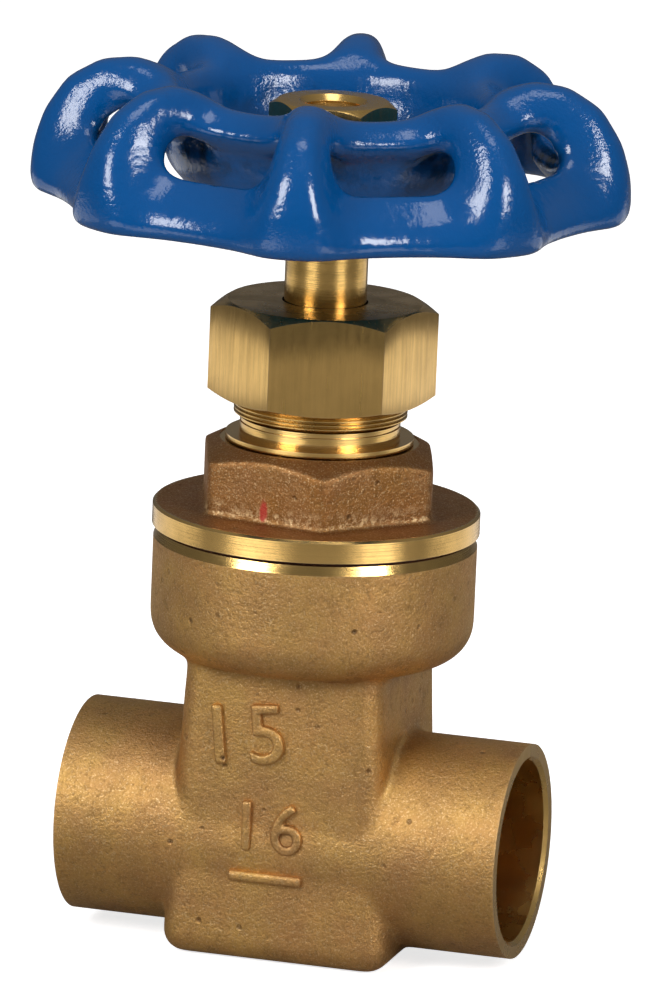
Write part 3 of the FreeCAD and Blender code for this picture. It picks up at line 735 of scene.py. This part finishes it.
class VALVE_OT_body(bpy.types.Operator):
    """Cast the body from its block, tube and collar, then machine the ends, bores and lip"""

    bl_idname = "valve.body"
    bl_label = "Body"

    def execute(self, context):
        body = cast(self.blank(), sizes().cast_voxel, sizes().cast_smoothing)
        self.machine_ends(body)
        self.machine_top(body)
        paint(body, bpy.data.materials["sand_bronze"], bpy.data.materials["faced_brass"],
              bpy.data.materials["lathe_brass"])
        lip_low = BODY_HIGH.z - LIP
        pipe = Vector((0, 0, PIPE_Z))

        def faced(face):
            centre = face.calc_center_median() - pipe
            off_axis = math.hypot(centre.y, centre.z)
            end = abs(centre.x) > BODY_HIGH.x - 0.02 * MM
            return end or (off_axis < SOCKET_R + 0.4 * MM and abs(centre.x) > 4 * MM)

        def lip(face):
            centre = face.calc_center_median()
            return centre.z > lip_low + 0.01 * MM

        paint_where(body, 1, faced)
        paint_where(body, 2, lip)
        soften_by_angle(body, 28)
        hand_over(body, "valve", "cast_bronze", "valve_body")
        return {"FINISHED"}

    def blank(self):
        """The rough casting's solids, with stock left for machining."""
        size = sizes()
        top = BODY_HIGH.z
        tube = lying_drum("tube_blank", SOCKET_R + size.socket_wall, -BODY_HIGH.x - STOCK,
                          BODY_HIGH.x + STOCK)
        collar = drum("collar_blank", BODY_HIGH.y, size.collar_low, top + STOCK)
        pick(collar, "EDGE", level_edge(size.collar_low))
        bevel_picked(3.2 * MM, 6)
        block = slab("block_blank", (-size.block_low, -size.block_deep_low, 0),
                     (size.block_low, size.block_deep_low, size.collar_low + 3 * MM))
        pick(block, "FACE", lambda face: face.normal.z > 0.9)
        bpy.ops.transform.resize(value=(size.block_high / size.block_low,
                                        size.block_deep_high / size.block_deep_low, 1))
        bpy.ops.object.mode_set(mode="OBJECT")
        pick(block, "EDGE", upright_edge)
        bevel_picked(BLOCK_CORNER_R, 6)
        pick(block, "EDGE", level_edge(0))
        bevel_picked(BLOCK_FOOT_ROUND, 6)
        return join("valve_body_casting", block, tube, collar)

    def machine_ends(self, body):
        """Faces both ends square and bores the sockets, their mouths, the port and the chamber."""
        end = BODY_HIGH.x
        reach = BODY_HIGH.y + STOCK
        machine(body, slab("facing", (-end, -reach, -STOCK), (end, reach, BODY_HIGH.z)),
                "INTERSECT")
        depth, mouth = SOCKET_DEPTH, MOUTH_CHAMFER
        for side in (-1, 1):
            outline = [(0, end - depth), (SOCKET_R, end - depth), (SOCKET_R, end - mouth),
                       (SOCKET_R + mouth, end), (SOCKET_R + mouth, end + STOCK), (0, end + STOCK)]
            machine(body, lay_on_pipe(turned("socket_bore", outline), side))
        machine(body, lying_drum("port", PORT_R, -end, end))
        wide, deep = CHAMBER_HALF_X, CHAMBER_HALF_Y
        machine(body, lying_drum("chamber_low", deep, -wide, wide))
        machine(body, slab("chamber_high", (-wide, -deep, PIPE_Z),
                           (wide, deep, BONNET_BORE_LOW + STOCK)))

    def machine_top(self, body):
        """Turns the collar's lip and bores it for the bonnet."""
        top = BODY_HIGH.z
        radius = BODY_HIGH.y
        outline = [(0, -STOCK), (2 * radius, -STOCK), (2 * radius, top - LIP),
                   (radius - 0.02 * MM, top - LIP), (radius - LIP_NARROWING, top), (0, top)]
        machine(body, turned("lip_turning", outline), "INTERSECT")
        machine(body, drum("bonnet_bore", BONNET_BORE_R, BONNET_BORE_LOW, top + STOCK))


class VALVE_OT_marks(bpy.types.Operator):
    """Raise plain cast figures on the front of the body: a nominal size and a pressure rating"""

    bl_idname = "valve.marks"
    bl_label = "Cast figures"

    def execute(self, context):
        size = sizes()
        slope = (size.block_deep_low - size.block_deep_high) / (size.collar_low + 3 * MM)
        pieces = []
        for text, across, height, tall, lean in FIGURES:
            clear_selection()
            bpy.ops.object.text_add(location=(0, 0, 0))
            letters = bpy.context.object
            letters.data.body = text
            letters.data.size = tall * MM * 1.4
            letters.data.extrude = size.mark_height
            letters.data.align_x = "CENTER"
            letters.data.align_y = "CENTER"
            letters.data.space_character = 1.15
            bpy.ops.object.convert(target="MESH")
            face = size.block_deep_low - slope * height * MM
            letters.matrix_world = (
                Matrix.Translation((across * MM, -face, height * MM))
                @ Matrix.Rotation(math.pi / 2 - math.atan(slope), 4, "X")
                @ Matrix.Rotation(math.radians(lean), 4, "Z"))
            pieces.append(settle(letters))
        bar_face = size.block_deep_low - slope * 8.0 * MM
        pieces.append(slab("rule", (-3.8 * MM, -bar_face - size.mark_height, 7.6 * MM),
                           (2.6 * MM, -bar_face + size.mark_height, 8.3 * MM)))
        marks = cast(join("cast_figures", *pieces), 0.10 * MM, 4)
        apply_modifier(marks, "DISPLACE", strength=0.12 * MM, mid_level=0.0)
        cast(marks, 0.10 * MM, 8)
        paint(marks, bpy.data.materials["sand_bronze"])
        soften_by_angle(marks, 60)
        hand_over(marks, "valve", "cast_bronze")
        return {"FINISHED"}


class VALVE_OT_bonnet(bpy.types.Operator):
    """Cast the bonnet's hexagon and flange, then turn the rim and bore the middle"""

    bl_idname = "valve.bonnet"
    bl_label = "Bonnet"

    def execute(self, context):
        flange_low = BODY_HIGH.z + GASKET_THICKNESS
        flange_top = FLANGE_TOP
        top = BONNET_HIGH.z
        radius = BONNET_HIGH.x
        block = hexagon("hexagon_blank", sizes().bonnet_flats, flange_low, top, BONNET_HEX_TURN)
        pick(block, "EDGE", upright_edge)
        bevel_picked(0.55 * MM, 3)
        corner = sizes().bonnet_flats / math.sqrt(3)
        slope = [(0, flange_low), (2 * corner, flange_low), (2 * corner, HEX_SHOULDER),
                 (corner, HEX_SHOULDER), (SPOT_FACE_R, top), (0, top)]
        machine(block, turned("corner_slope", slope), "INTERSECT")
        plate = drum("flange_blank", radius + STOCK, flange_low - STOCK, flange_top)
        bonnet = cast(join("bonnet_casting", block, plate), 0.22 * MM, 7)
        outline = [(0, flange_low), (radius, flange_low), (radius, flange_top - 0.2 * MM),
                   (radius - 0.25 * MM, flange_top + 0.05 * MM), (radius - 0.25 * MM, top + STOCK),
                   (0, top + STOCK)]
        machine(bonnet, turned("rim_turning", outline), "INTERSECT")
        machine(bonnet, drum("middle_bore", STUFFING_BORE_R, flange_low - STOCK, top + STOCK))
        face = top - 0.12 * MM
        machine(bonnet, turned("spot_face", [(0, face), (SPOT_FACE_R, face),
                                             (SPOT_FACE_R, top + STOCK), (0, top + STOCK)]))
        paint(bonnet, bpy.data.materials["sand_bronze_red"], bpy.data.materials["lathe_brass"])

        def rim(face):
            centre = face.calc_center_median()
            return math.hypot(centre.x, centre.y) > radius - 0.3 * MM

        def spot_faced(face):
            centre = face.calc_center_median()
            inside = math.hypot(centre.x, centre.y) < SPOT_FACE_R + 0.01 * MM
            return inside and centre.z > top - 0.2 * MM and face.normal.z > 0.9

        paint_where(bonnet, 1, rim)
        paint_where(bonnet, 1, spot_faced)
        soften_by_angle(bonnet, 28)
        skirt = self.skirt(flange_low)
        paint(skirt, bpy.data.materials["lathe_brass"])
        bonnet = join("bonnet_casting", bonnet, skirt)
        hand_over(bonnet, "valve", "cast_bronze", "bonnet")
        return {"FINISHED"}

    def skirt(self, top):
        """The screwed skirt below the flange, inside the body."""
        skirt = drum("bonnet_skirt", SKIRT_R, BONNET_LOW.z, top)
        machine(skirt, drum("skirt_bore", SKIRT_BORE_R, BONNET_LOW.z - STOCK,
                            top - SKIRT_BORE_DROP))
        machine(skirt, drum("skirt_hole", STUFFING_BORE_R, BONNET_LOW.z - STOCK, top + STOCK))
        return soften_by_angle(skirt, 28)


class VALVE_OT_packing_nut(bpy.types.Operator):
    """Turn the packing nut from hexagonal bar"""

    bl_idname = "valve.packing_nut"
    bl_label = "Packing nut"

    def execute(self, context):
        low, top = PACKING_NUT_LOW.z, PACKING_NUT_HIGH.z
        flats = sizes().nut_flats
        corner = flats / math.sqrt(3)
        nut = hexagon("packing_nut_turned", flats, low, top, PACKING_NUT_TURN)
        outline = [(0, low)]
        root = NUT_COLLAR_R - NUT_GROOVE_DEPTH
        for groove in range(NUT_GROOVES):
            foot = low + groove * NUT_GROOVE_STEP
            outline += [(root, foot), (NUT_COLLAR_R, foot + 0.12 * MM),
                        (NUT_COLLAR_R, foot + 0.22 * MM), (root, foot + 0.34 * MM)]
        slope_low, slope_high = low + NUT_FOOT_SLOPE_TOP, top - NUT_TOP_SLOPE
        outline += [(corner, slope_low), (corner + STOCK, slope_low),
                    (corner + STOCK, slope_high), (corner, slope_high),
                    (flats / 2 - 0.15 * MM, top), (0, top)]
        machine(nut, turned("nut_turning", outline), "INTERSECT")
        pick(nut, "EDGE", lambda edge: len(edge.link_faces) == 2
             and edge.calc_face_angle(0) > math.radians(20))
        bevel_picked(0.11 * MM, 2)
        machine(nut, drum("nut_mouth", NUT_MOUTH_R, low - STOCK, low + NUT_MOUTH_DEPTH))
        machine(nut, drum("nut_bore", NUT_BORE_R, low, top - NUT_CROWN))
        machine(nut, drum("stem_hole", NUT_STEM_HOLE_R, low, top + STOCK))
        paint(nut, bpy.data.materials["drawn_brass"], bpy.data.materials["topped_brass"],
              bpy.data.materials["threaded_brass"])
        paint_where(nut, 1, lambda face: face.normal.z > 0.95
                    and face.calc_center_median().z > top - 0.05 * MM)
        paint_where(nut, 2, lambda face: face.calc_center_median().z < low + NUT_COLLAR_HEIGHT)
        soften_by_angle(nut, 25)
        hand_over(nut, "nut", "turned_brass", "packing_nut")
        return {"FINISHED"}


class VALVE_OT_handwheel(bpy.types.Operator):
    """Soften the lobed handwheel into an enamelled casting"""

    bl_idname = "valve.handwheel"
    bl_label = "Handwheel"

    def execute(self, context):
        wheel = cast(cad_copy("handwheel", "handwheel_casting"),
                     sizes().wheel_voxel, sizes().wheel_smoothing)
        paint(wheel, bpy.data.materials["sprayed_enamel"])
        soften_by_angle(wheel, 180)
        hand_over(wheel, "spindle", "blue_enamel", "handwheel")
        return {"FINISHED"}


class VALVE_OT_handwheel_nut(bpy.types.Operator):
    """Turn the small chamfered nut that holds the handwheel"""

    bl_idname = "valve.handwheel_nut"
    bl_label = "Handwheel nut"

    def execute(self, context):
        low, top = WHEEL_NUT_LOW.z, WHEEL_NUT_HIGH.z
        flats = sizes().wheel_nut_flats
        corner = flats / math.sqrt(3)
        nut = hexagon("handwheel_nut_turned", flats, low, top, WHEEL_NUT_TURN)
        slope = top - WHEEL_NUT_SLOPE
        outline = [(0, low), (corner + STOCK, low), (corner + STOCK, slope),
                   (corner, slope), (flats / 2 - 0.05 * MM, top), (0, top)]
        machine(nut, turned("small_nut_turning", outline), "INTERSECT")
        pick(nut, "EDGE", lambda edge: len(edge.link_faces) == 2
             and edge.calc_face_angle(0) > math.radians(20))
        bevel_picked(0.08 * MM, 2)
        bore, mouth = WHEEL_NUT_BORE_R, WHEEL_NUT_MOUTH_R
        machine(nut, turned("thread_bore", [(0, low - STOCK), (bore, low - STOCK),
                                            (bore, top - WHEEL_NUT_MOUTH_DEPTH), (mouth, top),
                                            (mouth, top + STOCK), (0, top + STOCK)]))
        paint(nut, bpy.data.materials["drawn_brass"], bpy.data.materials["topped_brass"])
        paint_where(nut, 1, lambda face: face.normal.z > 0.5)
        soften_by_angle(nut, 25)
        hand_over(nut, "spindle", "turned_brass", "handwheel_nut")
        return {"FINISHED"}


class VALVE_OT_inner_pieces(bpy.types.Operator):
    """Give the turned and hidden frame pieces their finishes"""

    bl_idname = "valve.inner_pieces"
    bl_label = "Frame pieces"

    def execute(self, context):
        finish = {"stem": "shadowed_stem_brass", "stuffing_box": "lathe_brass",
                  "packing_gland": "lathe_brass", "wedge_disc": "sand_bronze",
                  "bonnet_gasket": "fibre_sheet", "thrust_washer": "slippery_plastic"}
        for place in ("lower", "middle", "upper"):
            finish["packing_ring_" + place] = "graphite_braid"
        for node, name in finish.items():
            paint(frame["nodes"][node], bpy.data.materials[name])
        return {"FINISHED"}


class VALVE_OT_stage(bpy.types.Operator):
    """Set the pale floor, the soft lights and the camera"""

    bl_idname = "valve.stage"
    bl_label = "Stage"

    def execute(self, context):
        self.floor()
        self.world()
        self.softbox("left_softbox", -46, 28, 0.65, 0.24, 2.5)
        self.softbox("right_softbox", 44, 24, 0.65, 0.20, 2.1)
        self.softbox("top_softbox", 10, 75, 0.8, 0.35, 1.3)
        self.card("left_card", -40, 0.12, 0.16)
        self.card("right_card", 42, 0.10, 0.13)
        self.card("left_rear_card", -120, 0.22, 0.15)
        self.card("right_rear_card", 120, 0.22, 0.16)
        self.camera()
        context.scene.view_settings.view_transform = "Standard"
        return {"FINISHED"}

    def floor(self):
        clear_selection()
        bpy.ops.mesh.primitive_plane_add(size=sizes().floor, location=(0, 0, BODY_LOW.z))
        floor = bpy.context.object
        floor.name = "floor"
        made, tree, shader, where = material("pale_floor", roughness=0.6,
                                             emission_color=(1, 1, 1, 1))
        seen = put(tree, "ShaderNodeLightPath").outputs["Is Camera Ray"]
        mottle = blend_colours(tree, noise(tree, where, 3.0),
                               (0.93, 0.93, 0.93), (0.90, 0.90, 0.90))
        tree.links.new(blend_colours(tree, seen, (0.30, 0.29, 0.28), mottle),
                       shader.inputs["Base Color"])
        tree.links.new(maths(tree, "MULTIPLY", seen, 0.75), shader.inputs["Emission Strength"])
        paint(floor, made)

    def world(self):
        """A white backdrop for the camera, and a softer grey one for everything else."""
        world = bpy.data.worlds.new("studio")
        bpy.context.scene.world = world
        world.use_nodes = True
        tree = world.node_tree
        direction = put(tree, "ShaderNodeTexCoord").outputs["Generated"]
        up = put(tree, "ShaderNodeSeparateXYZ", {0: direction}).outputs[2]
        glow = between(tree, up, -0.1, 0.9, 0.08, 0.26)
        straight = put(tree, "ShaderNodeLightPath").outputs["Is Camera Ray"]
        strength = maths(tree, "MAXIMUM", glow, straight)
        tree.links.new(strength, tree.nodes["Background"].inputs["Strength"])
        tree.nodes["Background"].inputs["Color"].default_value = (1, 1, 1, 1)

    def direction(self, azimuth, elevation):
        """A unit vector from the object towards a place round it, in degrees."""
        a, e = math.radians(azimuth), math.radians(elevation)
        return Vector((math.sin(a) * math.cos(e), -math.cos(a) * math.cos(e), math.sin(e)))

    def softbox(self, name, beside_camera, elevation, distance, width, power):
        """A square area light that faces the middle of the object."""
        light = bpy.data.lights.new(name, "AREA")
        light.size = width
        light.energy = power
        obj = bpy.data.objects.new(name, light)
        bpy.context.collection.objects.link(obj)
        towards = self.direction(CAMERA_AZIMUTH + beside_camera, elevation)
        middle = (CAD_BOX[0] + CAD_BOX[1]) / 2
        obj.location = middle + towards * distance
        obj.rotation_euler = towards.to_track_quat("Z", "Y").to_euler()

    def card(self, name, beside_camera, width, power):
        """A bright card lying on the floor, which the turned faces and the nut's flats reflect."""
        light = bpy.data.lights.new(name, "AREA")
        light.shape = "RECTANGLE"
        light.size = width
        light.size_y = 0.30
        light.energy = power
        obj = bpy.data.objects.new(name, light)
        bpy.context.collection.objects.link(obj)
        obj.location = self.direction(CAMERA_AZIMUTH + beside_camera, 0) * 0.28
        obj.location.z = 1.0 * MM
        obj.rotation_euler = (math.pi, 0, math.radians(CAMERA_AZIMUTH + beside_camera))

    def camera(self):
        """A long lens, a little above the object and leaning slightly."""
        camera = bpy.data.cameras.new("camera")
        camera.sensor_width = 36
        camera.lens = camera.sensor_width * CAMERA_DISTANCE / CAMERA_VIEW_HEIGHT
        camera.clip_end = 100
        obj = bpy.data.objects.new("camera", camera)
        bpy.context.collection.objects.link(obj)
        towards = self.direction(CAMERA_AZIMUTH, CAMERA_ELEVATION)
        right = towards.cross(Vector((0, 0, 1))).normalized() * -1
        target = Vector((0, 0, CAMERA_TARGET_Z)) + right * CAMERA_TARGET_RIGHT
        level = towards.to_track_quat("Z", "Y").to_matrix().to_4x4()
        obj.matrix_world = (Matrix.Translation(target + towards * CAMERA_DISTANCE) @ level
                            @ Matrix.Rotation(math.radians(CAMERA_ROLL), 4, "Z"))
        bpy.context.scene.camera = obj


class VALVE_PT_panel(bpy.types.Panel):
    """Lists the steps that build the valve"""

    bl_label = "Gate Valve"
    bl_idname = "VALVE_PT_panel"
    bl_space_type = "VIEW_3D"
    bl_region_type = "UI"
    bl_category = "Gate Valve"

    def draw(self, context):
        for step in STEPS:
            self.layout.operator(step.bl_idname)
        for settings in (context.scene.valve_sizes, context.scene.valve_colours):
            box = self.layout.box()
            for name in settings.bl_rna.properties.keys():
                if name not in ("rna_type", "name"):
                    box.prop(settings, name)


STEPS = (VALVE_OT_finishes, VALVE_OT_body, VALVE_OT_marks, VALVE_OT_bonnet, VALVE_OT_packing_nut,
         VALVE_OT_handwheel, VALVE_OT_handwheel_nut, VALVE_OT_inner_pieces, VALVE_OT_stage)
CLASSES = (ValveSizes, ValveColours, *STEPS, VALVE_PT_panel)


def register():
    for cls in CLASSES:
        bpy.utils.register_class(cls)
    bpy.types.Scene.valve_sizes = PointerProperty(type=ValveSizes)
    bpy.types.Scene.valve_colours = PointerProperty(type=ValveColours)


def unregister():
    del bpy.types.Scene.valve_colours
    del bpy.types.Scene.valve_sizes
    for cls in reversed(CLASSES):
        bpy.utils.unregister_class(cls)


def main():
    register()
    for step in STEPS:
        family, name = step.bl_idname.split(".")
        getattr(getattr(bpy.ops, family), name)()
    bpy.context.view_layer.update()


if __name__ == "__main__":
    main()
